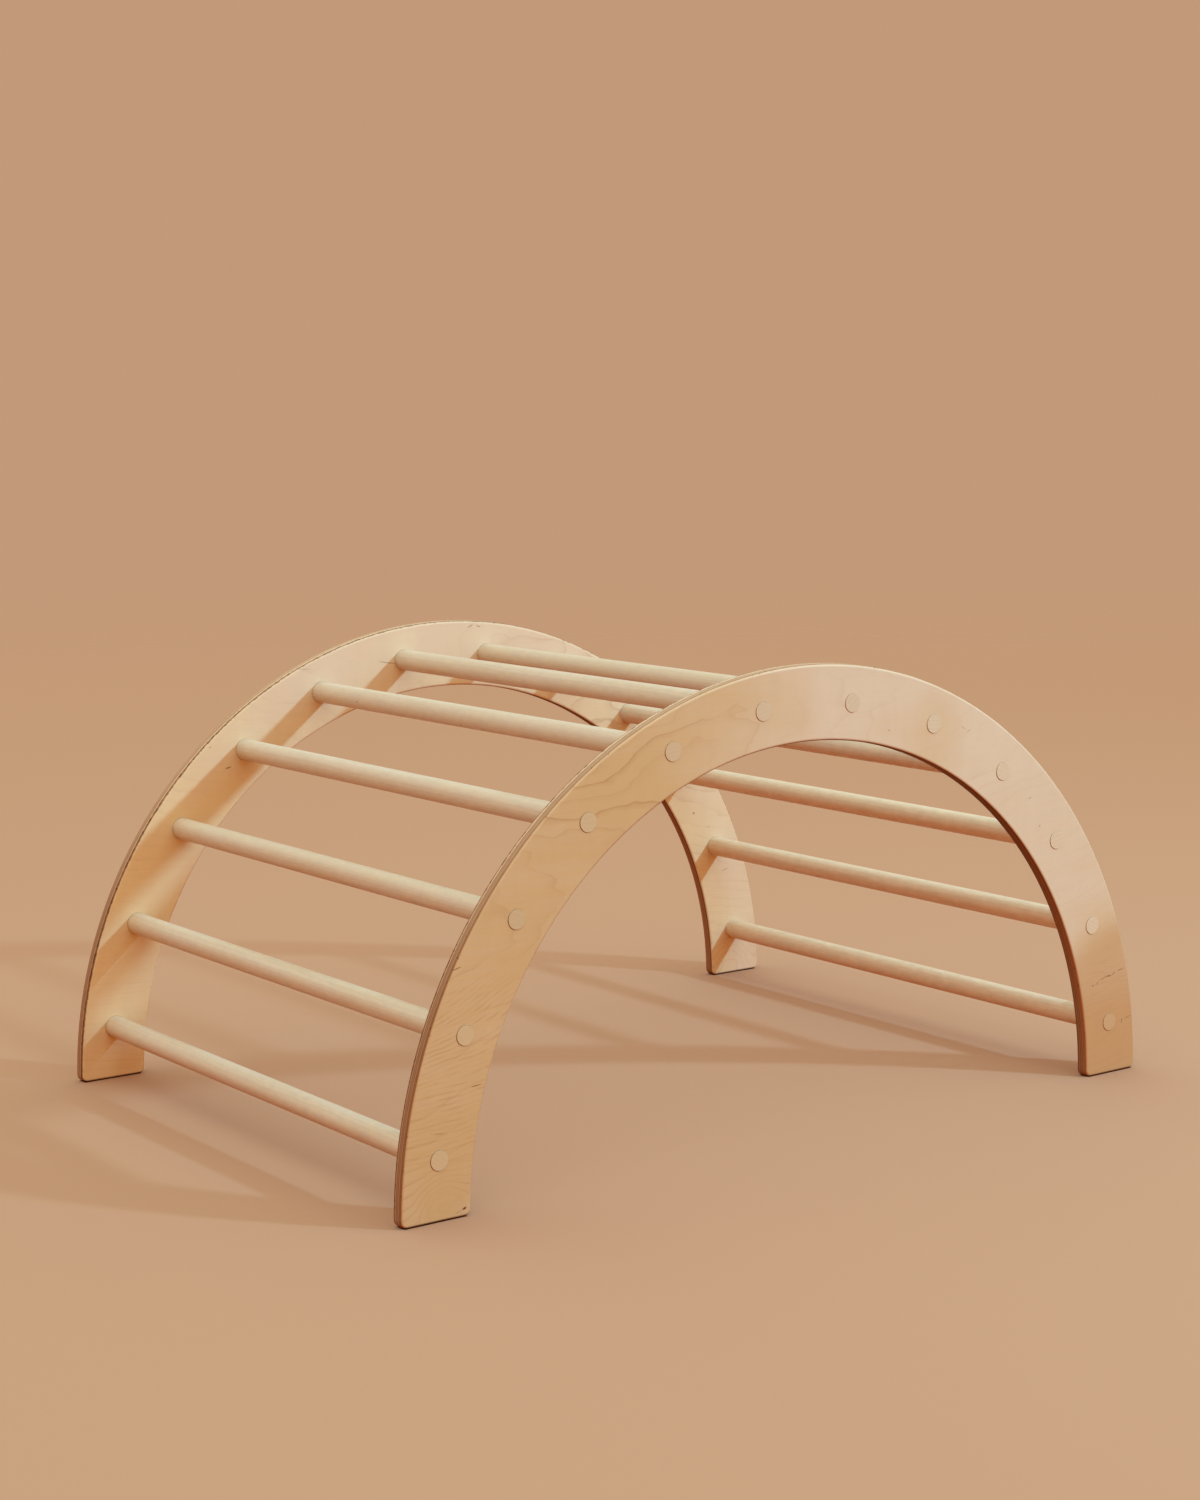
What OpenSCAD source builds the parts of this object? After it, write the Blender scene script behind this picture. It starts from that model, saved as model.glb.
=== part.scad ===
// Wooden rocker arch: two half-ring plywood side panels joined by twelve round rungs.
// X runs along the span, Y along the rungs, Z up. The origin is on the floor, in the middle of the four feet.

/* [Overall] */
// Outer radius of the arch, which is also its height when it stands on its feet
outer_r = 505; // [420:1:620]
// Overall width over the outer faces of the two side panels
overall_w = 700; // [500:1:850]

/* [Side panels] */
// Width of the band, from the inner to the outer edge of the half ring
band_w = 80; // [60:1:110]
// Thickness of the plywood
panel_t = 15; // [15:0.5:24]
// Radius of the round-over that runs along the edges of both faces
edge_round = 3; // [0.5:0.25:5]
// Radius of the foot corners, seen from the side
foot_corner_r = 8; // [4:0.5:16]

/* [Rungs] */
// Diameter of a rung
rung_d = 25; // [20:0.5:32]
// Depth of the blind socket in the panel's inner face that a rung end sits in
socket_depth = 4; // [2:0.5:5]
// Chamfer on the end of a rung
rung_chamfer = 0.5; // [0.2:0.1:1]
// Angle between the foot and the first rung, seen from the arch's centre
first_rung_angle = 7.5; // [6:0.25:9]

/* [Screws] */
// Length of a screw, over its head
screw_len = 50; // [35:1:70]
// Diameter of the smooth shank that passes through the panel
screw_shank_d = 5; // [4:0.5:6]
// Core diameter of the screwed part, which is drawn without its thread
screw_core_d = 3.6; // [3:0.1:4.2]
// Diameter of the countersunk head
screw_head_d = 10; // [8:0.5:12]
// Width across flats of the hexagon recess in the head
screw_hex_w = 3; // [2.5:0.5:4]

/* [Cover caps] */
// Diameter of a wooden cover cap
cap_d = 20; // [14:0.5:24]
// Thickness of a cover cap
cap_h = 5; // [3:0.25:6]
// How far a cap stands proud of the panel's outer face
cap_proud = 0.8; // [0.2:0.1:1.5]
// Chamfer round the outer edge of a cap
cap_chamfer = 0.3; // [0.1:0.05:0.5]

/* [Fits] */
// Radial clearance of a rung end in its socket
rung_clear = 0.1; // [0.05:0.05:0.3]
// Radial clearance of a cap in its recess
cap_clear = 0.1; // [0.05:0.05:0.3]
// Radial clearance of a screw in the panel's hole, and of its head in the countersink
screw_clear = 0.2; // [0.1:0.05:0.5]
// Radial clearance of the screw's core in the rung's pilot hole
pilot_clear = 0.05; // [0.05:0.05:0.15]

/* [Hidden] */
$fn = 96;
eps = 1; // how far a cutter runs past the face that it opens
rung_count = 12;
rung_step = (180 - 2 * first_rung_angle) / (rung_count - 1);
inner_r = outer_r - band_w;
rung_circle_r = (outer_r + inner_r) / 2;
half_w = overall_w / 2;

recess_depth = cap_h - cap_proud;
web_t = panel_t - recess_depth - socket_depth; // plywood left between the recess and the socket
rung_len = overall_w - 2 * (panel_t - socket_depth);
screw_head_h = (screw_head_d - screw_shank_d) / 2; // a 90 degree head
screw_sink = 0.3; // the head lies this far below the recess floor
screw_tip_h = screw_core_d;
screw_in_rung = screw_len + screw_sink - web_t;
pilot_d = screw_core_d + 2 * pilot_clear;
pilot_spare = 2; // the pilot hole is this much deeper than the screw
hex_depth = 2;

birch_face = "#cfa777";
beech_rung = "#e2cdaa";
beech_cap = "#d8bd92";
zinc_steel = "#b9bcc0";

function two_digits(n) = n < 10 ? str("0", n) : str(n);
function rung_name(n) = str("rung_", two_digits(n));
function front_cap_name(n) = str("front_cap_", two_digits(n));
function back_cap_name(n) = str("back_cap_", two_digits(n));
function rung_angle(n) = 180 - first_rung_angle - (n - 1) * rung_step; // rung 1 is at the foot at -X

// Turns a shape drawn along +Z so that it runs along +Y, with its base at the front panel's outer face.
module from_front_face() {
    translate([0, -half_w, 0]) rotate([-90, 0, 0]) children();
}

// Places its children at station n of the rung circle.
module at_station(n) {
    a = rung_angle(n);
    translate([rung_circle_r * cos(a), 0, rung_circle_r * sin(a)]) children();
}

// Mirrors a front piece to the back of the arch.
module to_back() {
    mirror([0, 1, 0]) children();
}

module rounded_rectangle(w, h, r) {
    translate([r, 0]) square([w - 2 * r, h]);
    translate([0, r]) square([w, h - 2 * r]);
    for (x = [r, w - r], y = [r, h - r]) translate([x, y]) circle(r);
}

// The half ring, with its edges rounded over.
module half_ring() {
    translate([0, -half_w + panel_t, 0]) rotate([90, 0, 0])
        rotate_extrude(angle = 180, $fn = 240)
            translate([inner_r, 0]) rounded_rectangle(band_w, panel_t, edge_round);
}

// What is cut away to round one corner of a foot. It lies at the origin, towards +X and -Z.
module foot_corner_cutter() {
    translate([0, -half_w - eps, -foot_corner_r]) difference() {
        translate([0, 0, -eps]) cube([foot_corner_r + eps, panel_t + 2 * eps, foot_corner_r + eps]);
        translate([0, -eps, foot_corner_r]) rotate([-90, 0, 0])
            cylinder(r = foot_corner_r, h = panel_t + 4 * eps);
    }
}

// The four corners of the two feet. Each centre lies where its round meets the arc and the floor.
module foot_corners() {
    outer_x = sqrt(pow(outer_r - foot_corner_r, 2) - pow(foot_corner_r, 2));
    inner_x = sqrt(pow(inner_r + foot_corner_r, 2) - pow(foot_corner_r, 2));
    for (side = [0, 1]) mirror([side, 0, 0]) {
        translate([outer_x, 0, foot_corner_r]) foot_corner_cutter();
        translate([inner_x, 0, foot_corner_r]) mirror([1, 0, 0]) foot_corner_cutter();
    }
}

// What is cut away to round the two lower edges of one foot. It runs along X, past both corners.
module foot_edge_cutter() {
    translate([inner_r - eps, -half_w, 0]) difference() {
        translate([0, -eps, -eps]) cube([band_w + 2 * eps, edge_round + eps, edge_round + eps]);
        translate([-eps, edge_round, edge_round]) rotate([0, 90, 0])
            cylinder(r = edge_round, h = band_w + 4 * eps);
    }
}

module foot_edges() {
    for (side = [0, 1]) mirror([side, 0, 0]) {
        foot_edge_cutter();
        translate([0, -overall_w + panel_t, 0]) mirror([0, 1, 0]) foot_edge_cutter();
    }
}

// Everything that is bored into a panel at one station, from the outer face inwards.
module station_bores() {
    from_front_face() {
        // recess for the cap
        translate([0, 0, -eps]) cylinder(d = cap_d + 2 * cap_clear, h = recess_depth + eps);
        // countersink and hole for the screw
        translate([0, 0, recess_depth + screw_sink])
            cylinder(
                d1 = screw_head_d + 2 * screw_clear,
                d2 = screw_shank_d + 2 * screw_clear,
                h = screw_head_h
            );
        translate([0, 0, recess_depth - eps / 2])
            cylinder(d = screw_head_d + 2 * screw_clear, h = screw_sink + eps / 2);
        cylinder(d = screw_shank_d + 2 * screw_clear, h = panel_t);
        // blind socket for the rung end
        translate([0, 0, panel_t - socket_depth])
            cylinder(d = rung_d + 2 * rung_clear, h = socket_depth + eps);
    }
}

module side_panel() {
    color(birch_face) difference() {
        half_ring();
        foot_corners();
        foot_edges();
        for (n = [1:rung_count]) at_station(n) station_bores();
    }
}

module rung(n) {
    pilot_len = screw_in_rung + pilot_spare;
    color(beech_rung) at_station(n) translate([0, -rung_len / 2, 0]) rotate([-90, 0, 0]) difference() {
        union() {
            cylinder(d1 = rung_d - 2 * rung_chamfer, d2 = rung_d, h = rung_chamfer);
            translate([0, 0, rung_chamfer]) cylinder(d = rung_d, h = rung_len - 2 * rung_chamfer);
            translate([0, 0, rung_len - rung_chamfer])
                cylinder(d1 = rung_d, d2 = rung_d - 2 * rung_chamfer, h = rung_chamfer);
        }
        translate([0, 0, -eps]) cylinder(d = pilot_d, h = pilot_len + eps);
        translate([0, 0, rung_len - pilot_len]) cylinder(d = pilot_d, h = pilot_len + eps);
    }
}

// One screw along +Z, with the top of its head at z = 0.
module screw() {
    shank_h = web_t - screw_sink - screw_head_h;
    core_h = screw_len - screw_head_h - shank_h - screw_tip_h;
    difference() {
        union() {
            cylinder(d1 = screw_head_d, d2 = screw_shank_d, h = screw_head_h);
            translate([0, 0, screw_head_h]) cylinder(d = screw_shank_d, h = shank_h);
            translate([0, 0, screw_head_h + shank_h]) cylinder(d = screw_core_d, h = core_h);
            translate([0, 0, screw_len - screw_tip_h])
                cylinder(d1 = screw_core_d, d2 = screw_core_d / 4, h = screw_tip_h);
        }
        translate([0, 0, -eps]) cylinder(d = screw_hex_w / cos(30), h = hex_depth + eps, $fn = 6);
    }
}

module panel_screws() {
    color(zinc_steel) for (n = [1:rung_count]) at_station(n) from_front_face()
        translate([0, 0, recess_depth + screw_sink]) screw();
}

module cap(n) {
    color(beech_cap) at_station(n) from_front_face() translate([0, 0, -cap_proud]) {
        cylinder(d1 = cap_d - 2 * cap_chamfer, d2 = cap_d, h = cap_chamfer);
        translate([0, 0, cap_chamfer]) cylinder(d = cap_d, h = cap_h - cap_chamfer);
    }
}

side_panel();  // front_side_panel
to_back() side_panel();  // back_side_panel
panel_screws();  // front_screws
to_back() panel_screws();  // back_screws
for (n = [1:rung_count]) {
    rung(n);
    cap(n);
    to_back() cap(n);
}
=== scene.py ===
"""Wooden rocker arch: two plywood half rings joined by twelve round rungs, with wooden caps over the screws.

X runs along the span, Y along the rungs, Z up. The origin is on the floor, in the middle of the four feet.
"""

from math import cos, hypot, pi, radians, sin

import bmesh
import bpy
from mathutils import Matrix, Vector


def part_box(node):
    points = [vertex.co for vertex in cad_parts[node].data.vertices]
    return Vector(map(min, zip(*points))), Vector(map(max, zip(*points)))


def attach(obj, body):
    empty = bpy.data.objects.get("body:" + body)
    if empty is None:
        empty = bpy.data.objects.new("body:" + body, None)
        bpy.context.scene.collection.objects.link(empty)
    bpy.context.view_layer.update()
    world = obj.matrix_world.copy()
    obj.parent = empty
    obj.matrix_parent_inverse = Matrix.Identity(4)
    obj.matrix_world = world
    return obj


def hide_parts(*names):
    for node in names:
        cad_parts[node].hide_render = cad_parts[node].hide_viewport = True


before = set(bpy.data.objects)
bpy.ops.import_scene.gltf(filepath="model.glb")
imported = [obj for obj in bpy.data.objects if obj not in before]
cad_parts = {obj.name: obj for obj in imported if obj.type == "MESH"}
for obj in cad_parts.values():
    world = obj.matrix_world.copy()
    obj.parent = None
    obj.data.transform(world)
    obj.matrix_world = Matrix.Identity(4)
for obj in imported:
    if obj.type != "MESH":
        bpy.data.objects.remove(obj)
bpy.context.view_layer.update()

bl_info = {
    "name": "Wooden Rocker Arch",
    "version": (1, 0, 0),
    "blender": (4, 5, 0),
    "location": "View3D > Sidebar > Rocker Arch",
    "description": "Models the boards, rungs, cover caps and finishes of a wooden rocker arch",
    "category": "Add Mesh",
}

MM = 0.001
CLOSE = 0.00002  # two places nearer than this are the same place, in metres
SHARP_ANGLE = radians(35)  # an edge that turns more than this stays sharp


# ---- Sizes that come from the frame, in metres ----

panel_low, panel_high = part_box("front_side_panel")
first_rung_low, first_rung_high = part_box("rung_01")
first_cap_low, first_cap_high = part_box("front_cap_01")
screws_low, screws_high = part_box("front_screws")

OUTER_R = panel_high.z
OUTER_Y = panel_low.y  # the front panel's outer face
INNER_Y = panel_high.y
PANEL_T = INNER_Y - OUTER_Y
RUNG_D = first_rung_high.x - first_rung_low.x
RUNG_END_Y = first_rung_low.y
CAP_D = first_cap_high.x - first_cap_low.x
CAP_FACE_Y = first_cap_low.y
CAP_BACK_Y = first_cap_high.y
SCREW_TOP_Y = screws_low.y
SCREW_TIP_Y = screws_high.y

RUNG_COUNT = sum(name.startswith("rung_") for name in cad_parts)
STATIONS = [sum(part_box(f"rung_{number:02d}"), Vector()) / 2 for number in range(1, RUNG_COUNT + 1)]
RUNG_CIRCLE_R = hypot(STATIONS[0].x, STATIONS[0].z)
BAND_W = 2 * (OUTER_R - RUNG_CIRCLE_R)
SCREW_HEAD_D = 2 * (STATIONS[0].x - screws_low.x)


def screen_colour(red, green, blue):
    """The linear colour of a swatch that is read from a screen as 0 to 255."""
    return tuple(
        (c / 12.92 if c <= 0.04045 else ((c + 0.055) / 1.055) ** 2.4)
        for c in (red / 255, green / 255, blue / 255)
    )


def length_property(name, description, default_mm):
    return bpy.props.FloatProperty(
        name=name, description=description, default=default_mm * MM, min=0.0, precision=5, unit="LENGTH"
    )


def colour_property(name, description, *screen):
    return bpy.props.FloatVectorProperty(
        name=name, description=description, default=screen_colour(*screen), min=0.0, max=1.0, subtype="COLOR"
    )


def count_property(name, description, default, least):
    return bpy.props.IntProperty(name=name, description=description, default=default, min=least)


def number_property(name, description, default, least=0.0, unit="NONE"):
    return bpy.props.FloatProperty(name=name, description=description, default=default, min=least, unit=unit)


# ---- What a user would change ----


class ArchPanelSettings(bpy.types.PropertyGroup):
    edge_round: length_property("Edge round-over", "Radius along the edges of both faces", 3)
    foot_corner_r: length_property("Foot corner", "Radius of a foot corner, seen from the side", 8)
    bore_edge: length_property("Bore edge", "Sanded edge of the recesses and sockets", 0.15)
    recess_clear: length_property("Cap clearance", "Gap round a cover cap, on the radius", 0.1)
    socket_clear: length_property("Rung clearance", "Gap round a rung in its socket, on the radius", 0.1)
    screw_clear: length_property("Screw clearance", "Gap round a screw, on the radius", 0.2)
    screw_shank_d: length_property("Screw shank", "Diameter of a screw where it passes through the board", 5)
    ring_steps: count_property("Steps round the half ring", "Straight lengths of the half ring", 144, 24)
    round_steps: count_property("Steps across a round-over", "Faces across the round-over of an edge", 6, 2)
    corner_steps: count_property("Steps round a foot corner", "Faces round the corner of a foot", 8, 2)
    bore_facets: count_property("Facets of a bore", "Faces round a recess, a screw hole or a socket", 64, 16)


class ArchRungSettings(bpy.types.PropertyGroup):
    end_chamfer: length_property("End chamfer", "Chamfer on the two ends of a rung", 0.5)
    pilot_d: length_property("Pilot hole", "Diameter of the hole that a screw bites into", 3.7)
    pilot_spare: length_property("Pilot spare", "Depth of the pilot hole past the screw's tip", 2)
    facets: count_property("Facets", "Faces round a rung", 72, 16)


class ArchCapSettings(bpy.types.PropertyGroup):
    edge_round: length_property("Edge", "Radius of the softened edge of a cap's face", 0.35)
    back_chamfer: length_property("Back chamfer", "Lead-in on the edge that is pushed in first", 0.25)
    facets: count_property("Facets", "Faces round a cap", 72, 16)
    edge_steps: count_property("Steps across the edge", "Faces across the softened edge", 3, 1)


class ArchFinishSettings(bpy.types.PropertyGroup):
    plies: count_property("Plies", "Veneers in a board", 11, 3)
    birch: colour_property("Birch", "Pale wood of the face veneer", 223, 208, 183)
    # golden birch: the veneer's own warmer tone, and painted shade on the left of the front board
    birch_gold: colour_property("Golden birch", "Warmer parts of the face veneer", 211, 182, 134)
    # painted shade on the right foot of the front board
    birch_deep: colour_property("Deep birch", "Darker wood at the foot of the front veneer", 201, 162, 116)
    # painted light: the back board is a paler copy of the birch
    back_birch: colour_property("Back birch", "Pale wood of the back board", 231, 214, 188)
    # the back board's warmer tone, and painted shade on its left, along its inner edge and on its right
    back_gold: colour_property("Golden back birch", "Warmer parts of the back board", 235, 213, 169)
    birch_line: colour_property("Growth lines", "Late wood in the face veneer", 176, 129, 78)
    # also the painted shade round the side of each cover cap
    fleck: colour_property("Flecks", "Pin knots, flecks and short checks", 112, 66, 34)
    ply_long: colour_property("Ply, long grain", "A ply cut along its grain, seen on the rim", 224, 193, 163)
    ply_end: colour_property("Ply, end grain", "A ply cut across its grain, seen on the rim", 182, 135, 99)
    glue: colour_property("Glue line", "The glue between two plies", 92, 48, 22)
    # painted shade on the rim of the legs and inside the arch
    rim_stain: colour_property("Rim stain", "Tint of the rim on the legs and inside the arch", 190, 163, 139)
    beech: colour_property("Beech", "Pale wood of the rungs", 217, 205, 191)
    beech_warm: colour_property("Warm beech", "Warmer parts of the rungs", 213, 197, 174)
    # painted light: the rungs on the right are brighter
    beech_right: colour_property("Right beech", "Brighter wood of the rungs on the right", 227, 210, 185)
    beech_line: colour_property("Beech lines", "Growth lines and flecks of the rungs", 178, 135, 92)
    cap: colour_property("Cap", "Pale wood of the cover caps", 220, 205, 177)
    # painted shade on the caps on the left of the front
    cap_warm: colour_property("Warm cap", "Warmer wood of the caps on the left of the front", 210, 190, 151)
    # painted shade on the cap in the front board's right foot
    cap_deep: colour_property("Deep cap", "Darker wood of the cap in the deep birch", 202, 170, 128)
    # painted light: the caps on the back board are a paler copy
    back_cap: colour_property("Back cap", "Wood of the caps on the back board", 236, 219, 185)
    cap_line: colour_property("Cap lines", "Growth lines of the cover caps", 196, 161, 120)
    # dirt and painted contact shade along the bottom of the feet
    grime: colour_property("Grime", "What the feet pick up from the floor", 74, 28, 8)
    zinc: colour_property("Zinc", "Plating of the screws", 184, 186, 190)


class ArchStageSettings(bpy.types.PropertyGroup):
    floor: colour_property("Floor", "Plain pale floor", 184, 143, 119)
    floor_glow: colour_property("Floor glow", "Colour of the light that the floor throws up", 172, 78, 25)
    # painted contact shade on the floor under the feet
    dust: colour_property("Dust", "Dust that is caught under the feet", 96, 38, 8)
    backdrop: colour_property("Backdrop", "What the camera sees past the floor", 195, 154, 121)
    lamp_colour: colour_property("Lamp colour", "Colour of the lamp", 165, 225, 255)
    room_low: colour_property("Low room light", "Colour of the light from the walls", 255, 165, 36)
    room_back: colour_property("Back room light", "Colour of the light from the wall behind", 222, 240, 240)
    room_high: colour_property("High room light", "Colour of the light from the ceiling", 241, 255, 239)
    floor_r: number_property("Floor radius", "Radius of the floor", 9.0, 2.0, "LENGTH")
    lamp_power: number_property("Lamp power", "Power of the lamp at the front right", 33.0, unit="POWER")
    lamp_size: number_property("Lamp size", "Side of the square lamp", 0.25, 0.01, "LENGTH")
    lamp_spread: number_property("Lamp spread", "Angle that the lamp lights", radians(90), 0.1, "ROTATION")
    low_strength: number_property("Light from the walls", "Strength of the room light near the floor", 0.73)
    back_strength: number_property("Light from behind", "Strength of the light from the wall behind", 1.0)
    high_strength: number_property("Light from the ceiling", "Strength of the room light from above", 1.45)


SETTINGS = {
    "arch_panel": ArchPanelSettings,
    "arch_rung": ArchRungSettings,
    "arch_cap": ArchCapSettings,
    "arch_finish": ArchFinishSettings,
    "arch_stage": ArchStageSettings,
}


# ---- Modelling by hand ----


def put_down_everything():
    if bpy.context.mode != "OBJECT":
        bpy.ops.object.mode_set(mode="OBJECT")
    bpy.ops.object.select_all(action="DESELECT")


def take_up(piece):
    """Makes a piece the only one that is selected."""
    put_down_everything()
    piece.select_set(True)
    bpy.context.view_layer.objects.active = piece


def open_new(name):
    """Names the primitive that was just added, puts its place in its mesh, and opens it with all selected."""
    piece = bpy.context.object
    piece.name = piece.data.name = name
    bpy.ops.object.transform_apply(location=True, rotation=True, scale=True)
    bpy.ops.object.mode_set(mode="EDIT")
    bpy.ops.mesh.select_all(action="SELECT")
    return piece


def select_edges(piece, wanted):
    """Selects the edges of the open mesh for which wanted(edge) is true."""
    bpy.ops.mesh.select_all(action="DESELECT")
    bpy.ops.mesh.select_mode(type="EDGE")
    mesh = bmesh.from_edit_mesh(piece.data)
    for edge in mesh.edges:
        edge.select = wanted(edge)
    mesh.select_flush_mode()
    bmesh.update_edit_mesh(piece.data)


def round_over(radius, steps):
    """Rounds the selected edges."""
    bpy.ops.mesh.bevel(offset=radius, segments=steps, affect="EDGES", clamp_overlap=False)


def merge_and_face_out():
    """Merges what lies on the same place and turns every face outwards."""
    bpy.ops.mesh.select_all(action="SELECT")
    bpy.ops.mesh.remove_doubles(threshold=CLOSE)
    bpy.ops.mesh.normals_make_consistent(inside=False)


def close_shell():
    """Merges the open mesh, faces it outwards, and leaves edit mode."""
    merge_and_face_out()
    bpy.ops.object.mode_set(mode="OBJECT")


def apply_modifier(piece, kind, **settings):
    take_up(piece)
    bpy.ops.object.modifier_add(type=kind)
    modifier = piece.modifiers[-1]
    for setting, value in settings.items():
        setattr(modifier, setting, value)
    bpy.ops.object.modifier_apply(modifier=modifier.name)


def shade(piece):
    """Shades a piece smooth over its curves and keeps its flats flat and its edges sharp."""
    take_up(piece)
    bpy.ops.object.shade_smooth_by_angle(angle=SHARP_ANGLE)
    apply_modifier(piece, "WEIGHTED_NORMAL", keep_sharp=True)


def turned(name, outline, centre, facets):
    """Makes a round piece along Y, as on a lathe, from the (y, radius) points of its outline."""
    y, radius = outline[0]
    axis = Vector((centre.x, 0, centre.z))
    put_down_everything()
    bpy.ops.mesh.primitive_circle_add(
        vertices=facets,
        radius=radius,
        fill_type="NGON",
        location=(centre.x, y, centre.z),
        rotation=(pi / 2, 0, 0),
    )
    piece = open_new(name)
    for next_y, next_radius in outline[1:]:
        bpy.ops.mesh.extrude_region_move(TRANSFORM_OT_translate={"value": (0, next_y - y, 0)})
        scale = next_radius / radius
        if scale != 1:
            bpy.ops.transform.resize(value=(scale, 1, scale), center_override=axis + Vector((0, next_y, 0)))
        y, radius = next_y, next_radius
    close_shell()
    return piece


def copied(piece, name, move=(0, 0, 0), half_turn=False):
    """A copy with a mesh of its own, moved, or turned round the upright through the arch's middle."""
    take_up(piece)
    bpy.ops.object.duplicate(linked=False)
    copy = bpy.context.object
    copy.name = copy.data.name = name
    bpy.ops.object.mode_set(mode="EDIT")
    bpy.ops.mesh.select_all(action="SELECT")
    if half_turn:
        bpy.ops.transform.rotate(value=pi, orient_axis="Z", center_override=(0, 0, 0))
    else:
        bpy.ops.transform.translate(value=move)
    bpy.ops.object.mode_set(mode="OBJECT")
    return copy


def at_every_station(first, name):
    """The piece of the first station with its copies at the others, numbered from 02."""
    return [first] + [
        copied(first, f"{name}_{number:02d}", station - STATIONS[0])
        for number, station in enumerate(STATIONS[1:], 2)
    ]


def finish_piece(piece, node, material):
    """Paints a piece, and lets it stand for its CAD node."""
    piece.data.materials.clear()
    piece.data.materials.append(material)
    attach(piece, "root")
    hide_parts(node)


# ---- Shader maths ----


class Shade:
    """A number, a place or a colour in a material's nodes. Python's signs on a number add Math nodes."""

    def __init__(self, board, socket):
        self.board = board
        self.socket = socket

    def __add__(self, other):
        return self.board.maths("ADD", self, other)

    def __sub__(self, other):
        return self.board.maths("SUBTRACT", self, other)

    def __mul__(self, other):
        return self.board.maths("MULTIPLY", self, other)

    def __truediv__(self, other):
        return self.board.maths("DIVIDE", self, other)

    def __rsub__(self, other):
        return self.board.maths("SUBTRACT", other, self)

    def __mod__(self, other):
        return self.board.maths("FLOORED_MODULO", self, other)

    def __abs__(self):
        return self.board.maths("ABSOLUTE", self)

    __radd__ = __add__
    __rmul__ = __mul__


class Board:
    """The nodes of a material or a world."""

    def __init__(self, owner, surface="Principled BSDF"):
        owner.use_nodes = True
        self.owner = owner
        self.tree = owner.node_tree
        self.surface = self.tree.nodes[surface]

    def feed(self, socket, value):
        if isinstance(value, Shade):
            self.tree.links.new(value.socket, socket)
        elif socket.type == "RGBA" and len(value) == 3:
            socket.default_value = (*value, 1)
        else:
            socket.default_value = value

    def node(self, kind, settings=None, inputs=None, output=0):
        """Adds a node, sets its settings, feeds its sockets, and returns one of its outputs."""
        node = self.tree.nodes.new(kind)
        for setting, value in (settings or {}).items():
            setattr(node, setting, value)
        for socket, value in (inputs or {}).items():
            self.feed(node.inputs[socket], value)
        return Shade(self, node.outputs[output])

    def maths(self, operation, *values):
        return self.node("ShaderNodeMath", {"operation": operation}, dict(enumerate(values)))

    def step(self, value, low, high):
        """Rises smoothly from 0 at low to 1 at high."""
        return self.node(
            "ShaderNodeMapRange", {"interpolation_type": "SMOOTHSTEP"}, {"Value": value, 1: low, 2: high}
        )

    def clamp(self, value, low=0.0, high=1.0):
        return self.node("ShaderNodeClamp", None, {"Value": value, "Min": low, "Max": high})

    def drop(self, value, low, high):
        """Falls smoothly from 1 at low to 0 at high."""
        return 1 - self.step(value, low, high)

    def hump(self, value, start, top, end):
        """Rises from 0 at start to 1 at top, and falls to 0 at end."""
        return self.step(value, start, top) * self.drop(value, top, end)

    def larger(self, one, other):
        return self.maths("MAXIMUM", one, other)

    def distance(self, across, up):
        """How far off a point is, from how far it is across and up."""
        return self.maths("SQRT", across * across + up * up)

    def blend(self, zero, one, share):
        """Blends two numbers."""
        return self.node("ShaderNodeMix", {"data_type": "FLOAT"}, {0: share, 2: zero, 3: one})

    def paint(self, zero, one, share):
        """Blends two colours."""
        return self.node("ShaderNodeMix", {"data_type": "RGBA"}, {0: share, 6: zero, 7: one}, 2)

    def scale(self, value, amount):
        """Multiplies a colour or a place by a number."""
        return self.node("ShaderNodeVectorMath", {"operation": "SCALE"}, {0: value, "Scale": amount})

    def point(self, x, y, z):
        return self.node("ShaderNodeCombineXYZ", None, {"X": x, "Y": y, "Z": z})

    def parts(self, vector):
        return [self.node("ShaderNodeSeparateXYZ", None, {"Vector": vector}, axis) for axis in "XYZ"]

    def place(self):
        """The place on the object, in millimetres."""
        return self.parts(self.scale(self.node("ShaderNodeTexCoord", None, None, "Object"), 1 / MM))

    def facing(self):
        """The way the surface faces."""
        return self.parts(self.node("ShaderNodeTexCoord", None, None, "Normal"))

    def wander(self, x, y, z, detail=2.0, roughness=0.5):
        """A smooth random number, mostly between -0.5 and 0.5."""
        inputs = {"Vector": self.point(x, y, z), "Scale": 1.0, "Detail": detail, "Roughness": roughness}
        return self.node("ShaderNodeTexNoise", {"noise_dimensions": "3D"}, inputs) - 0.5

    def luck(self, number):
        """A random number from 0 to 1 that goes with a whole number."""
        return self.node("ShaderNodeTexWhiteNoise", {"noise_dimensions": "1D"}, {"W": number})

    def bump(self, height, distance_mm, strength):
        inputs = {"Height": height, "Distance": distance_mm * MM, "Strength": strength}
        return self.node("ShaderNodeBump", None, inputs)

    def finish(self, **sockets):
        """Feeds the surface, by socket names written with underscores, and returns what it belongs to."""
        for name, value in sockets.items():
            self.feed(self.surface.inputs[name.replace("_", " ")], value)
        return self.owner

    def overlay(self, other, share):
        """Lets another surface take over from the first one."""
        first = Shade(self, self.surface.outputs[0])
        mix = self.node("ShaderNodeMixShader", None, {0: share, 1: first, 2: other})
        output = next(node for node in self.tree.nodes if node.bl_idname.startswith("ShaderNodeOutput"))
        self.feed(output.inputs["Surface"], mix)


def new_finish(name):
    return Board(bpy.data.materials.new("arch_" + name))


# ---- Finishes ----

RUNG_CIRCLE = RUNG_CIRCLE_R / MM
STATION_STEP = pi / len(STATIONS)
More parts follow.
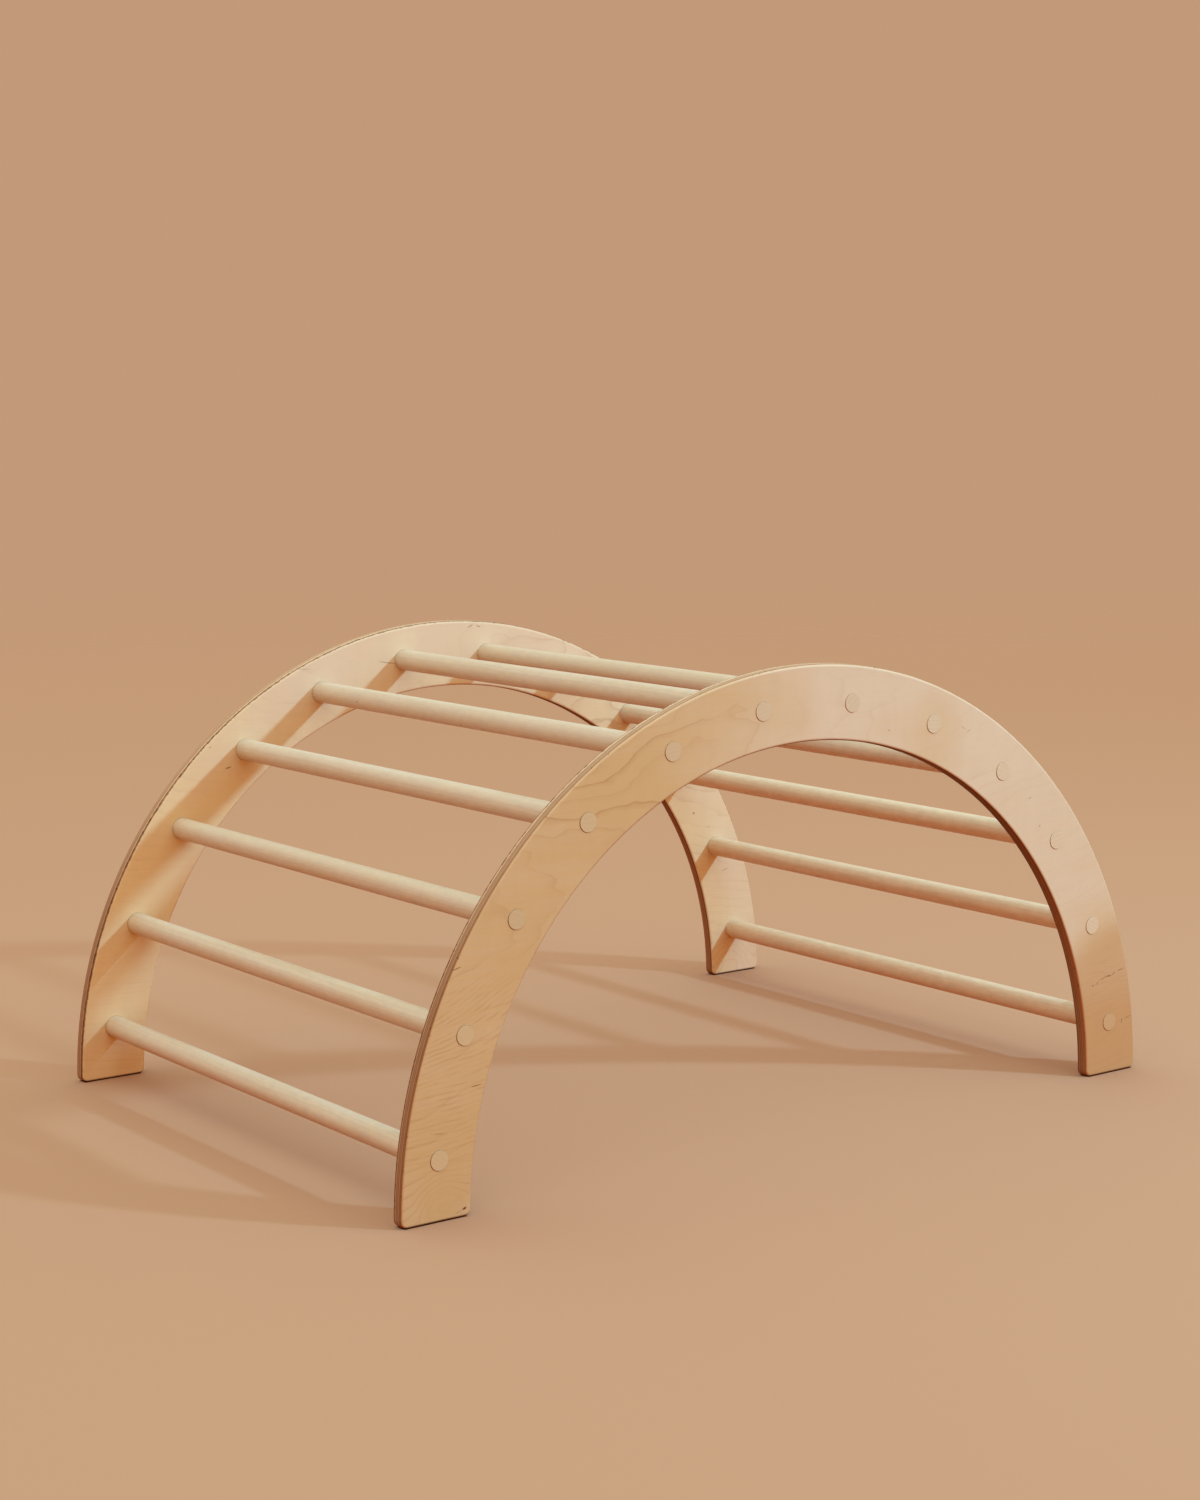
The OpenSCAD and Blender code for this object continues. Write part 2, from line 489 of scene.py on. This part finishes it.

# Natural marks in the veneers, in millimetres and degrees:
# x, z, half length, half width, tilt, depth of colour
FRONT_MARKS = (
    (-418, 127, 7, 0.5, 4, 0.9),
    (-462, 87, 8, 0.4, -6, 0.5),
    (-438, 244, 5, 0.6, 14, 0.8),
    (-433, 8.5, 2.6, 1.4, 25, 1.0),
    (-440, 6, 4, 0.5, 12, 0.5),
    (433, 107, 1.2, 0.9, 0, 0.9),
    (440, 109, 4, 0.5, 44, 0.7),
    (450, 113.5, 6, 0.5, 16, 0.7),
    (459, 115, 5, 0.7, 0, 0.9),
    (467, 117, 4, 0.5, 33, 0.7),
    (478, 120, 6, 0.5, 8, 0.8),
    (482, 59, 3.5, 0.7, 84, 0.7),
    (492, 62, 6, 0.5, 14, 0.6),
    (342, 302, 1.4, 0.9, 20, 0.6),
    (326, 335, 2.2, 0.6, 12, 0.6),
    (113, 428, 0.9, 0.9, 0, 0.7),
    (222, 422, 5, 0.5, -30, 0.4),
    (230, 418, 4, 0.5, 20, 0.4),
)
BACK_MARKS = (
    (-306, 349, 4, 0.9, 10, 0.8),
    (-329, 375, 2, 0.6, 10, 0.6),
    (-204, 459, 15, 0.4, -6, 0.5),
    (-84, 459, 14, 0.5, -10, 0.7),
    (38, 497, 5, 0.6, 22, 0.7),
    (50, 496, 4, 0.6, -18, 0.7),
    (393, 226, 1.6, 1.2, 0, 0.9),
    (418, 205, 4, 0.5, 10, 0.4),
    (447, 144, 7, 0.5, 14, 0.6),
)

# Painted light and shade, in paler and deeper patches of the front veneer: x, z, radius in mm, how much
# deeper
LIT_AND_SHADED_PATCHES = ((52, 460, 65, -0.4), (182, 415, 62, 0.38), (450, 155, 62, 0.5))

# Small dark flaws in the fifth rung: x, y, z and radius in millimetres
RUNG_FLAWS = ((-190.3, 232.5, 427.7, 1.3), (-187.3, 17.7, 421.3, 1.0))

# How the growth lines run, in millimetres
EYE_X, EYE_Z = -458, 22  # they ring a low spot of the veneer here
BOLD_X, BOLD_Z = -270, 390  # they are boldest here
TONGUE_GAP = 63  # from one to the next, along the tongues of a face
RIPPLE_Z = 140  # height of the middle of the close lines on the legs
RIPPLE_GAP = 5.6
RUNG_LINE_GAP = 2.9
CAP_LINE_GAP = 4.5

FULL_TURN = 6.28  # close enough for a grain that may lie any way


def marks(board, x, y, z):
    """The natural marks on the two faces that a viewer at the front sees, as 1 in a mark and 0 outside."""
    ragged = board.wander(x / 1.5, y, z / 1.5) * 1.1
    found = 0.0
    for face_y, face_marks in ((OUTER_Y / MM, FRONT_MARKS), (-INNER_Y / MM, BACK_MARKS)):
        on_this_face = board.maths("LESS_THAN", abs(y - face_y), 2.0)
        for mark_x, mark_z, half_length, half_width, tilt, strength in face_marks:
            along, across = x - mark_x, z - mark_z
            turn = radians(tilt)
            length_share = (along * cos(turn) + across * sin(turn)) / half_length
            width_share = (across * cos(turn) - along * sin(turn)) / half_width
            inside = board.drop(board.distance(length_share, width_share) + ragged, 0.5, 1.2)
            found = board.larger(found, inside * on_this_face * strength)
    return found


def growth_lines(board, along, z, sheet, legs):
    """Late wood in tongues that point along the span over a crest and run level away from it.

    Also returns how near a place is to the eye, and to the boldest lines.
    """
    crest = 290 + 170 * board.step(along, -370, -30)
    fall = (z - crest) / 100
    eye = board.drop(board.distance(along - EYE_X, z - EYE_Z), 4, 38)
    waves = board.wander(along / 150, sheet, z / 55) * 3.4 + board.wander(along / 42, sheet + 5, z / 17) * 0.8
    rings = along / TONGUE_GAP + 9 * board.maths("SQRT", 1 + fall * fall) + eye * 2.4 + waves
    ring = board.maths("FLOOR", rings)
    phase = rings - ring
    line = 0.45 * board.step(phase, 0.5, 0.95) + 0.55 * board.step(phase, 0.84, 0.95)
    line = line * board.drop(phase, 0.95, 1.0)

    # the lines differ in depth, and fade over the right of the board and on the legs
    bold = board.drop(board.distance(along - BOLD_X, z - BOLD_Z), 30, 120)
    clear = board.step(board.wander(along / 90, sheet + 11, z / 60) + 0.3 * bold, -0.16, 0.16)
    plain = board.step(along, -190, -20) * (1 - 0.35 * board.step(along, 400, 460))
    line = line * (0.3 + 0.7 * board.luck(ring + sheet)) * (0.25 + 0.75 * clear) * (1 - 0.72 * plain)
    return line * (1 - 0.5 * legs) * (1 - 0.45 * eye), eye, bold


def leg_lines(board, along, z, sheet, legs):
    """Low on the legs the growth lines lie close together, and come and go."""
    slant = 0.08 + 0.42 * board.step(z, 110, 230)
    ripple = (z - slant * (along + 430)) / RIPPLE_GAP + board.wander(along / 60, sheet + 17, z / 30) * 2.2
    come_and_go = board.step(board.wander(along / 48, sheet + 19, z / 7), -0.12, 0.2)
    return board.hump(ripple % 1, 0.5, 0.88, 1.0) * legs * come_and_go


def rim_plies(board, finish, x, y, z, side, depth, across_share, outer_rim):
    """The colour of the plies on the rim, where every other ply is cut across its grain, with painted light
    and shade.

    Also returns the glue lines between them, and the speckle of the cut wood.
    """
    ply = board.maths("FLOOR", depth)
    within = depth - ply
    second = board.drop(abs(abs(depth - finish.plies / 2) - finish.plies / 2 + 1.5), 0.3, 0.6)
    palest = outer_rim * board.drop(abs(depth - 3.5), 0.4, 0.7)
    speckle = board.wander(x / 1.1, y / 0.3, z / 1.1, 2.0)
    weather = board.wander(x / 14, ply * 3 + side, z / 14, 2.0)
    dark = 0.7 * across_share + 0.6 * weather + 0.9 * second - palest
    wood = board.paint(finish.ply_long, finish.ply_end, board.clamp(dark, 0, 1.3))
    wood = board.scale(wood, 0.84 + 0.3 * board.luck(ply + 7 * side) + 0.35 * speckle)
    glue_line = board.drop(board.maths("MINIMUM", within, 1 - within), 0.05, 0.14)
    wood = board.paint(wood, finish.glue, glue_line * (0.35 + 0.45 * second))

    # lighter and darker bands of plies, painted light over the top of the outer rim and on a low inner edge,
    # and painted shade on the legs, inside the arch and on the plies by the inner face
    inside = 1 - outer_rim
    lit_rim_top = outer_rim * (0.2 + 0.8 * board.step(z, 150, 400))
    middle = board.step(depth, 4.0, 4.6) * lit_rim_top
    under = inside * board.step(z, 150, 350)
    inner_ply_shade = board.drop(depth, 2.3, 2.9)
    lit_low_edge = inside * board.drop(z, 120, 260) * board.step(depth, 8.0, 8.8)
    shares = (1 - 0.14 * middle) * (1 - 0.2 * inner_ply_shade) * (1 - 0.25 * under)
    wood = board.scale(wood, shares * (1 + 0.18 * palest + 0.4 * lit_low_edge))
    rim_in_shade = board.node("ShaderNodeVectorMath", {"operation": "MULTIPLY"}, {0: wood, 1: finish.rim_stain})
    return board.paint(rim_in_shade, wood, lit_rim_top), glue_line, speckle


def birch_plywood(finish):
    """Rotary-cut birch: wavy growth lines on the faces, and the plies on the rim, with painted light and
    shade.
    """
    board = new_finish("birch_plywood")
    x, y, z = board.place()
    facing_x, facing_y, facing_z = (abs(part) for part in board.facing())
    side = board.maths("SIGN", y)
    near = 0.5 - 0.5 * side
    radius = board.distance(x, z)
    outer_rim = board.step(radius, RUNG_CIRCLE - 30, RUNG_CIRCLE + 30)
    lag = 0.2 * (1 - near) * (1 - outer_rim)
    rim = board.drop(facing_y, 0.55 - lag, 0.97 - lag)

    # plies, counted from the inner face
    ply_t = PANEL_T / MM / finish.plies
    sway = board.wander(x / 60, side * 9, z / 60) * 0.35
    depth = board.clamp((abs(y) + INNER_Y / MM) / ply_t + sway * rim, 0.2, finish.plies - 0.2)
    ply = board.maths("FLOOR", depth)
    from_middle = abs(depth - finish.plies / 2)

    # a number of its own for each veneer, which shifts its patterns. The back board is the front one turned
    # round, so its grain runs the other way
    sheet = side * 40 + board.maths("SIGN", depth - finish.plies / 2) * 17
    along = x * (0 - side)
    legs = board.drop(abs(z - RIPPLE_Z), 60, 110)
    line, eye, bold = growth_lines(board, along, z, sheet, legs)
    ripple = leg_lines(board, along, z, sheet, legs) * (0.2 + 0.8 * near * (1 - 0.7 * board.step(x, 0, 300)))
    fibre = board.wander(along / 16, sheet + 23, z / 0.55, 3.0, 0.6)
    streak = board.wander(along / 90, sheet + 29, z / 3.2, 2.0)
    cloud = board.wander(along / 170, sheet + 37, z / 70)
    flame = board.wander(along / 14, sheet + 41, z / 50)

    # painted shade: the front board is warmer on its left, and has a darker foot on its right
    painted_left_shade = near * board.drop(x, -220, 70)
    tone = 0.1 + 0.8 * painted_left_shade + 0.9 * cloud + 0.4 * streak + 0.3 * eye
    # painted light and shade in soft patches
    for patch_x, patch_z, patch_r, deeper in LIT_AND_SHADED_PATCHES:
        away = board.distance(x - patch_x, z - patch_z)
        tone = tone + deeper * board.drop(away, 0.2 * patch_r, patch_r)
    wood = board.paint(finish.birch, finish.birch_gold, board.clamp(tone))
    # painted shade over the right foot of the front board
    deep = near * board.step(x, 200, 300) * board.drop(z - 0.37 * x + 8 * cloud, -22, 26)
    deep = deep * (1 - 0.3 * board.step(z, 60, 150))

    # painted shade: the back board is warmer on its left, along its inner edge and a little on its right
    inner_edge_shade = board.drop(radius, 440, 480)
    back_shade = 0.9 * board.drop(x, -430, -180) + 0.6 * inner_edge_shade + 0.3 * board.step(x, 150, 350)
    back_tone = board.clamp(back_shade + 0.6 * cloud + 0.3 * streak)
    # painted light: the back board's wood is a paler copy of the birch
    wood = board.paint(board.paint(finish.back_birch, finish.back_gold, back_tone), wood, near)
    # painted shade on the right foot
    wood = board.paint(wood, finish.birch_deep, deep)
    wood = board.scale(wood, 1 + 0.07 * fibre + 0.06 * streak + 0.06 * flame)
    wood = board.paint(wood, finish.birch_line, board.clamp((0.5 + 0.15 * bold) * line + 0.36 * ripple))

    across_share = board.step(board.blend(facing_x, facing_z, ply % 2), 0.2, 0.95)
    ply_wood, glue_line, speckle = rim_plies(board, finish, x, y, z, side, depth, across_share, outer_rim)
    wood = board.paint(wood, ply_wood, rim)

    # small chips where the outermost veneers are torn, dirt and painted contact shade along the bottom of the
    # feet, and the natural marks
    inner_side = outer_rim * board.drop(depth, 2.8, 3.1)
    ends = board.larger(board.step(from_middle, finish.plies / 2 - 2.1, finish.plies / 2 - 1.5), inner_side)
    chips = board.step(board.wander(x / 6, ply * 5 + side * 3, z / 6, 3.0, 0.6) + 0.1 * inner_side, 0.1, 0.16)
    wood = board.paint(wood, finish.glue, chips * ends * rim * 0.8)
    grime = board.drop(z, 0.7, 3.4)
    wood = board.paint(wood, finish.grime, 0.9 * grime)
    wood = board.paint(wood, finish.fleck, marks(board, x, y, z))
    grain = 0.5 * fibre + (0.3 * line + 0.15 * ripple) * (1 - rim) + rim * (0.6 * speckle - 0.5 * glue_line)
    return board.finish(
        Base_Color=wood,
        Roughness=board.clamp(0.52 + 0.12 * fibre + 0.3 * rim + 0.4 * grime, 0.3, 1.0),
        Normal=board.bump(grain, 0.12, 0.35),
        Specular_IOR_Level=0.3,
        Coat_Weight=0.1 * (1 - rim) * (1 - grime),
        Coat_Roughness=0.32,
    )


def station_place(board, x, z):
    """The number of the nearest station, and the place from its middle, in millimetres."""
    number = board.maths("FLOOR", board.maths("ARCTAN2", z, x) / STATION_STEP)
    angle = (number + 0.5) * STATION_STEP
    from_x = x - RUNG_CIRCLE * board.maths("COSINE", angle)
    from_z = z - RUNG_CIRCLE * board.maths("SINE", angle)
    return number, from_x, from_z


def turned_grain(board, from_x, from_z, turn):
    """The place along and across a grain that is turned by an angle."""
    cosine, sine = board.maths("COSINE", turn), board.maths("SINE", turn)
    return from_x * cosine + from_z * sine, from_z * cosine - from_x * sine


def oiled(board, wood, roughness, fibre, dash):
    """Gives bare beech its thin coat of oil."""
    return board.finish(
        Base_Color=wood,
        Roughness=board.clamp(roughness + 0.15 * fibre, 0.3, 0.8),
        Normal=board.bump(0.6 * fibre - 0.4 * dash, 0.1, 0.3),
        Coat_Weight=0.1,
        Coat_Roughness=0.3,
    )


def beech_rung(finish):
    """Straight-grained rods: fine growth lines along them, and short flecks."""
    board = new_finish("beech_rung")
    x, y, z = board.place()
    number, from_x, from_z = station_place(board, x, z)
    chance = board.luck(number + 3)
    across, deep = turned_grain(board, from_x, from_z, chance * FULL_TURN)

    bend = board.wander(y / 210, number * 5, 0.5) * 1.6 + board.wander(y / 60, number * 5, across / 9) * 0.5
    rings = across / RUNG_LINE_GAP + bend
    line = board.hump(rings % 1, 0.45, 0.93, 1.0)
    fibre = board.wander(y / 22, across / 0.35, deep / 0.35 + number * 9, 3.0, 0.6)
    cloud = board.wander(y / 90, across / 14, deep / 14 + number * 9)
    dash = board.step(board.wander(y / 2.6, across / 0.3, deep / 0.3 + number * 9), 0.24, 0.34)

    mottle = board.wander(y / 12, across / 5, deep / 5 + number * 9, 3.0)
    tone = board.clamp(0.1 + 0.6 * board.luck(number + 20) + 1.2 * cloud + 1.6 * mottle)
    wood = board.paint(finish.beech, finish.beech_warm, tone)
    # painted light: the rungs on the right are brighter
    wood = board.paint(wood, finish.beech_right, 0.8 * board.step(x, 230, 350))
    wood = board.scale(wood, 1 + 0.06 * fibre + 0.32 * mottle)
    wood = board.paint(wood, finish.beech_line, board.clamp(0.13 * line + 0.3 * dash))
    here = board.point(x, y, z)
    ragged = board.wander(x, y, z)
    for *flaw, flaw_r in RUNG_FLAWS:
        away = board.node("ShaderNodeVectorMath", {"operation": "DISTANCE"}, {0: here, 1: flaw}, "Value")
        wood = board.paint(wood, finish.fleck, 0.75 * board.drop(away + ragged, 0.6 * flaw_r, 1.2 * flaw_r))
    return oiled(board, wood, 0.46, fibre, dash)


def beech_cap(finish):
    """Caps cut from the side of the wood, each with its grain turned its own way, with painted light and
    shade.
    """
    board = new_finish("beech_cap")
    x, y, z = board.place()
    number, from_x, from_z = station_place(board, x, z)
    seed = number + 13 * board.maths("SIGN", y)
    along, across = turned_grain(board, from_x, from_z, (board.luck(seed) - 0.5) * 1.6)

    rings = across / CAP_LINE_GAP + board.wander(along / 30, across / 9, seed * 5) * 1.2
    line = board.hump(rings % 1, 0.5, 0.93, 1.0)
    fibre = board.wander(along / 9, across / 0.4, seed * 5, 3.0, 0.6)
    dash = board.step(board.wander(along / 1.6, across / 0.25, seed * 5), 0.2, 0.3)
    cap_r = CAP_D / MM / 2
    wall = board.step(board.distance(from_x, from_z), cap_r - 0.2, cap_r)

    # painted shade: the caps on the left of the front and the cap in the right foot are darker
    left_cap_shade = board.drop(x, -300, 60)
    foot = board.maths("GREATER_THAN", x, 300) * board.maths("LESS_THAN", z, 120)
    wood = board.paint(board.paint(finish.cap, finish.cap_warm, left_cap_shade), finish.cap_deep, foot)
    # painted light: the caps on the back board are paler
    wood = board.paint(wood, finish.back_cap, board.maths("GREATER_THAN", y, 0.0))
    wood = board.paint(wood, finish.cap_line, board.clamp(0.16 * line + 0.2 * dash))
    wood = board.scale(wood, 0.96 + 0.07 * fibre + 0.08 * board.luck(seed + 5))
    # painted shade: a dark ring on the side of each cap, deeper on the left of the front
    wood = board.paint(wood, finish.fleck, (0.25 + 0.25 * left_cap_shade) * wall)
    return oiled(board, wood, 0.5, fibre, dash)


def zinc_screw(finish):
    """Zinc plating, a little cloudy, with fine turning marks."""
    board = new_finish("zinc_screw")
    x, y, z = board.place()
    cloud = board.wander(x / 4, y / 4, z / 4, 3.0)
    turning = board.wander(x / 3, y / 0.12, z / 3, 2.0)
    return board.finish(
        Base_Color=board.scale(finish.zinc, 1 + 0.25 * cloud),
        Roughness=board.clamp(0.34 + 0.4 * cloud + 0.1 * turning, 0.15, 0.7),
        Normal=board.bump(turning, 0.05, 0.3),
        Metallic=1.0,
    )


def finish_of(make):
    """The material that make makes, or the one that it made before."""
    return bpy.data.materials.get("arch_" + make.__name__) or make(bpy.context.scene.arch_finish)


# ---- Pieces ----


def half_ring(panel):
    """The front board before it is bored: its section swept from foot to foot, and its edges rounded over."""
    middle = Vector((RUNG_CIRCLE_R, (OUTER_Y + INNER_Y) / 2, 0))
    put_down_everything()
    bpy.ops.mesh.primitive_plane_add(size=1, location=middle)
    piece = open_new("front_board")
    bpy.ops.transform.resize(value=(BAND_W, PANEL_T, 1), center_override=middle)
    bpy.ops.mesh.spin(steps=panel.ring_steps, angle=pi, center=(0, 0, 0), axis=(0, 1, 0))
    merge_and_face_out()

    # the feet end in two edges each, across the board
    def foot_corner(edge):
        one, other = (vertex.co for vertex in edge.verts)
        return abs(one.z) < CLOSE and abs(other.z) < CLOSE and abs(one.y - other.y) > PANEL_T / 2

    # a face edge has one of the board's two faces on one side, and the rim on the other
    def face_edge(edge):
        flat = [abs(face.normal.y) > 0.9 for face in edge.link_faces]
        return len(flat) == 2 and flat[0] != flat[1]

    select_edges(piece, foot_corner)
    round_over(panel.foot_corner_r, panel.corner_steps)
    select_edges(piece, face_edge)
    round_over(panel.edge_round, panel.round_steps)
    close_shell()
    return piece


def bore_outline(panel):
    """The outline of all that is bored into the front board at a station, from its outer face inwards."""
    past = 1 * MM  # how far the cutter stands out of both faces
    edge = panel.bore_edge
    recess_r = CAP_D / 2 + panel.recess_clear
    head_r = SCREW_HEAD_D / 2 + panel.screw_clear
    hole_r = panel.screw_shank_d / 2 + panel.screw_clear
    socket_r = RUNG_D / 2 + panel.socket_clear
    return [
        (OUTER_Y - past, recess_r + edge + past),
        (OUTER_Y + edge, recess_r),
        (CAP_BACK_Y, recess_r),
        (CAP_BACK_Y, head_r),
        (SCREW_TOP_Y, head_r),
        (SCREW_TOP_Y + head_r - hole_r, hole_r),
        (RUNG_END_Y, hole_r),
        (RUNG_END_Y, socket_r),
        (INNER_Y - edge, socket_r),
        (INNER_Y + past, socket_r + edge + past),
    ]


class ARCH_OT_side_panels(bpy.types.Operator):
    """Model the front board, bore it for its caps, screws and rungs, and turn a copy round for the back"""

    bl_idname = "arch.side_panels"
    bl_label = "Side Panels"

    def execute(self, context):
        panel = context.scene.arch_panel
        front = half_ring(panel)
        bore = turned("bore_01", bore_outline(panel), STATIONS[0], panel.bore_facets)
        bores = at_every_station(bore, "bore")
        take_up(bore)
        for other in bores:
            other.select_set(True)
        bpy.ops.object.join()
        apply_modifier(front, "BOOLEAN", object=bore, operation="DIFFERENCE", solver="EXACT")
        take_up(bore)
        bpy.ops.object.delete()
        shade(front)
        back = copied(front, "back_board", half_turn=True)
        birch = finish_of(birch_plywood)
        finish_piece(front, "front_side_panel", birch)
        finish_piece(back, "back_side_panel", birch)
        return {"FINISHED"}


class ARCH_OT_rungs(bpy.types.Operator):
    """Turn one rung, with chamfered ends and pilot holes for its screws, and copy it to every station"""

    bl_idname = "arch.rungs"
    bl_label = "Rungs"

    def execute(self, context):
        rung = context.scene.arch_rung
        pilot_r = rung.pilot_d / 2
        pilot_end = SCREW_TIP_Y + rung.pilot_spare
        half = [
            (pilot_end, pilot_r),
            (RUNG_END_Y, pilot_r),
            (RUNG_END_Y, RUNG_D / 2 - rung.end_chamfer),
            (RUNG_END_Y + rung.end_chamfer, RUNG_D / 2),
        ]
        outline = half + [(-y, radius) for y, radius in reversed(half)]
        first = turned("rung_rod_01", outline, STATIONS[0], rung.facets)
        shade(first)
        beech = finish_of(beech_rung)
        for number, rod in enumerate(at_every_station(first, "rung_rod"), 1):
            finish_piece(rod, f"rung_{number:02d}", beech)
        return {"FINISHED"}


class ARCH_OT_cover_caps(bpy.types.Operator):
    """Turn one cover cap, soften its edge, and copy it over every screw of both boards"""

    bl_idname = "arch.cover_caps"
    bl_label = "Cover Caps"

    def execute(self, context):
        cap = context.scene.arch_cap
        radius = CAP_D / 2
        outline = [
            (CAP_FACE_Y, radius),
            (CAP_BACK_Y - cap.back_chamfer, radius),
            (CAP_BACK_Y, radius - cap.back_chamfer),
        ]
        first = turned("front_cover_01", outline, STATIONS[0], cap.facets)
        take_up(first)
        bpy.ops.object.mode_set(mode="EDIT")
        select_edges(first, lambda edge: all(abs(vertex.co.y - CAP_FACE_Y) < CLOSE for vertex in edge.verts))
        round_over(cap.edge_round, cap.edge_steps)
        close_shell()
        shade(first)
        wood = finish_of(beech_cap)
        fronts = at_every_station(first, "front_cover")
        for number, front in enumerate(fronts, 1):
            back_number = len(fronts) + 1 - number
            back = copied(front, f"back_cover_{back_number:02d}", half_turn=True)
            finish_piece(front, f"front_cap_{number:02d}", wood)
            finish_piece(back, f"back_cap_{back_number:02d}", wood)
        return {"FINISHED"}


class ARCH_OT_screws(bpy.types.Operator):
    """Plate the screws, which keep the shape that they have in the frame"""

    bl_idname = "arch.screws"
    bl_label = "Screws"

    def execute(self, context):
        zinc = finish_of(zinc_screw)
        for name in ("front_screws", "back_screws"):
            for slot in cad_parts[name].material_slots:
                slot.material = zinc
        return {"FINISHED"}


# ---- Stage ----

CAMERA_PLACE = (-1.7986, -2.4213, 0.7850)
CAMERA_YAW = radians(36.458)  # from +Y towards +X
CAMERA_DIP = radians(7.655)
CAMERA_ROLL = radians(-0.299)
PICTURE_HEIGHT_PX = 1500
FOCAL_LENGTH_PX = 2663.6
SENSOR_MM = 36

LAMP_PLACE = Vector((2.56, -3.52, 2.66))
LAMP_AIM = Vector((0, 0, 0.2))
FLOOR_SIDES = 96


def seen_directly(board):
    """1 for what the camera sees, itself or in a reflection, and 0 for the light that surfaces pass on."""
    return board.larger(
        board.node("ShaderNodeLightPath", None, None, "Is Camera Ray"),
        board.node("ShaderNodeLightPath", None, None, "Is Glossy Ray"),
    )


def floor_finish(stage):
    """A plain matt floor that fades into the backdrop before its rim, with painted contact shade under the
    four feet.
    """
    board = new_finish("floor")
    metres = board.node("ShaderNodeTexCoord", None, None, "Object")
    distance = board.node("ShaderNodeVectorMath", {"operation": "LENGTH"}, {0: metres}, "Value")
    colour = board.paint(stage.floor_glow, stage.floor, seen_directly(board))
    x, y, _ = board.parts(metres)

    # the foot corners are rounded, so the painted contact shade ends 4 mm inside them
    from_foot_x = abs(abs(x) - RUNG_CIRCLE_R) - (BAND_W / 2 - 4 * MM)
    from_foot_y = abs(abs(y) - (PANEL_T / 2 - INNER_Y)) - PANEL_T / 2
    dust = board.drop(board.larger(from_foot_x, from_foot_y), -1.0 * MM, 0.5 * MM)
    colour = board.paint(colour, stage.dust, dust)
    board.finish(Base_Color=colour, Roughness=1.0, Specular_IOR_Level=0.0)
    nothing = board.node("ShaderNodeBsdfTransparent")
    board.overlay(nothing, board.step(distance, 0.3 * stage.floor_r, 0.95 * stage.floor_r))
    return board.owner


def hang_lamp(stage):
    bpy.ops.object.light_add(type="AREA", location=LAMP_PLACE)
    lamp = bpy.context.object
    lamp.name = "key"
    lamp.rotation_euler = (LAMP_AIM - LAMP_PLACE).to_track_quat("-Z", "Y").to_euler()
    lamp.data.energy = stage.lamp_power
    lamp.data.color = stage.lamp_colour
    lamp.data.size = stage.lamp_size
    lamp.data.spread = stage.lamp_spread


def light_room(stage):
    """Soft light from all round. The camera and mirror-like surfaces see the plain backdrop instead."""
    board = Board(bpy.data.worlds.new("studio"), "Background")
    bpy.context.scene.world = board.owner
    _, back, height = board.parts(board.node("ShaderNodeTexCoord", None, None, "Generated"))
    behind = board.step(back, 0.1, 0.9)
    height = board.step(height, 0.0, 0.9)
    low = board.paint(stage.room_low, stage.room_back, behind)
    low_strength = board.blend(stage.low_strength, stage.back_strength, behind)
    board.finish(
        Color=board.paint(low, stage.room_high, height),
        Strength=board.blend(low_strength, stage.high_strength, height),
    )
    backdrop = board.node("ShaderNodeBackground", None, {"Color": stage.backdrop})
    board.overlay(backdrop, seen_directly(board))


class ARCH_OT_stage(bpy.types.Operator):
    """Lay the floor, hang the lamp, light the room and set up the camera"""

    bl_idname = "arch.stage"
    bl_label = "Stage"

    def execute(self, context):
        stage = context.scene.arch_stage
        put_down_everything()
        bpy.ops.mesh.primitive_circle_add(
            vertices=FLOOR_SIDES, radius=stage.floor_r, fill_type="NGON", location=(0, 0, 0)
        )
        floor = context.object
        floor.name = floor.data.name = "floor"
        floor.data.materials.append(floor_finish(stage))

        hang_lamp(stage)
        light_room(stage)

        bpy.ops.object.camera_add()
        camera = context.object
        camera.name = "camera"
        camera.matrix_world = (
            Matrix.Translation(CAMERA_PLACE)
            @ Matrix.Rotation(-CAMERA_YAW, 4, "Z")
            @ Matrix.Rotation(pi / 2 - CAMERA_DIP, 4, "X")
            @ Matrix.Rotation(CAMERA_ROLL, 4, "Z")
        )
        camera.data.sensor_width = SENSOR_MM
        camera.data.lens = FOCAL_LENGTH_PX / PICTURE_HEIGHT_PX * SENSOR_MM
        context.scene.camera = camera
        context.scene.view_settings.view_transform = "Standard"
        return {"FINISHED"}


class ARCH_PT_sidebar(bpy.types.Panel):
    """The pieces of the arch, in the order they are made"""

    bl_idname = "ARCH_PT_sidebar"
    bl_label = "Rocker Arch"
    bl_space_type = "VIEW_3D"
    bl_region_type = "UI"
    bl_category = "Rocker Arch"

    def draw(self, context):
        for name, group in SETTINGS.items():
            box = self.layout.box()
            box.label(text=name.replace("arch_", "").capitalize())
            for setting in group.__annotations__:
                box.prop(getattr(context.scene, name), setting)
        for operator in OPERATORS:
            self.layout.operator(operator.bl_idname)


OPERATORS = (ARCH_OT_side_panels, ARCH_OT_rungs, ARCH_OT_cover_caps, ARCH_OT_screws, ARCH_OT_stage)


def register():
    for group in (*SETTINGS.values(), *OPERATORS, ARCH_PT_sidebar):
        bpy.utils.register_class(group)
    for name, group in SETTINGS.items():
        setattr(bpy.types.Scene, name, bpy.props.PointerProperty(type=group))


def unregister():
    for name in SETTINGS:
        delattr(bpy.types.Scene, name)
    for group in (ARCH_PT_sidebar, *reversed(OPERATORS), *reversed(SETTINGS.values())):
        bpy.utils.unregister_class(group)


def main():
    register()
    bpy.ops.arch.side_panels()
    bpy.ops.arch.rungs()
    bpy.ops.arch.cover_caps()
    bpy.ops.arch.screws()
    bpy.ops.arch.stage()


if __name__ == "__main__":
    main()
